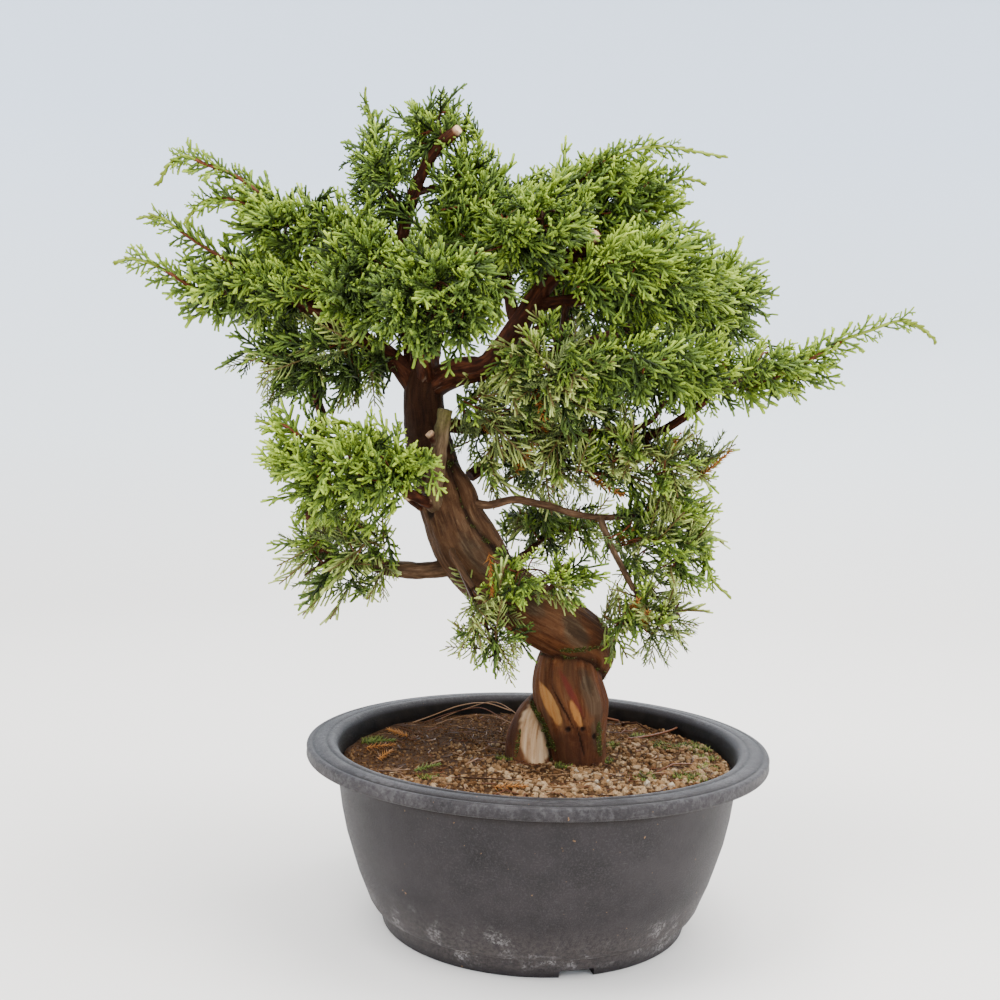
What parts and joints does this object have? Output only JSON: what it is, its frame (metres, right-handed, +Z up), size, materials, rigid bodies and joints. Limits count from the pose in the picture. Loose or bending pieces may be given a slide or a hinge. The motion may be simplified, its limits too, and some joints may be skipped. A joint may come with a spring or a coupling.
{
  "type": "potted juniper bonsai tree",
  "caption": "Twisted-trunk Chinese juniper bonsai with dense scale foliage and long leader shoots, in a round shallow dark plastic pot.",
  "frame": {"origin": "centre of the bounding box, on the surface that the pot stands on", "axes": "+Z up, +X to the right and +Y away in the pictured front view"},
  "size_m": [0.4122, 0.2484, 0.437],
  "materials": {
    "pot_plastic": "matte, faintly speckled, with pale water marks near the foot",
    "soil": "rough loose grains of pumice and clay with fines and moss",
    "bark": "rough flaking red-brown bark with bare orange and cream wood",
    "foliage": "matte scale leaves in blunt forked branchlets"
  },
  "bodies": {
    "root": {"pot": "pot_plastic", "soil": "soil", "trunk": "bark", "apex_bough": "bark", "right_bough": "bark", "left_bough": "bark", "low_left_bough": "bark", "left_riser": "bark", "right_low_bough": "bark", "right_reach_bough": "bark", "upper_left_bough": "bark", "shoot_bough": "bark", "centre_left_bough": "bark", "front_bough": "bark", "upper_centre_bough": "bark", "upper_right_bough": "bark", "right_mid_bough": "bark", "right_back_bough": "bark", "back_right_bough": "bark", "back_bough": "bark", "back_left_bough": "bark", "inner_branch": "bark", "inner_back_branch": "bark", "arch_branch": "bark", "drop_branch": "bark", "back_low_branch": "bark", "pad_branch": "bark", "front_twig": "bark", "cut_stub": "bark", "apex_mass": "foliage", "apex_left_mass": "foliage", "apex_right_mass": "foliage", "top_shoot_mass": "foliage", "upper_left_mass": "foliage", "left_mass": "foliage", "lower_left_mass": "foliage", "centre_left_mass": "foliage", "centre_front_mass": "foliage", "upper_centre_mass": "foliage", "centre_right_mass": "foliage", "upper_right_mass": "foliage", "right_mass": "foliage", "right_inner_mass": "foliage", "right_low_mass": "foliage", "right_back_mass": "foliage", "right_reach_mass": "foliage", "under_reach_mass": "foliage", "inner_right_mass": "foliage", "under_bough_mass": "foliage", "inner_back_mass": "foliage", "low_right_mass": "foliage", "hanging_mass": "foliage", "back_low_mass": "foliage", "pad_mass": "foliage", "under_pad_mass": "foliage", "sprig_mass": "foliage", "drooping_mass": "foliage", "back_left_mass": "foliage", "back_mass": "foliage", "back_right_mass": "foliage"}
  },
  "joints": []
}
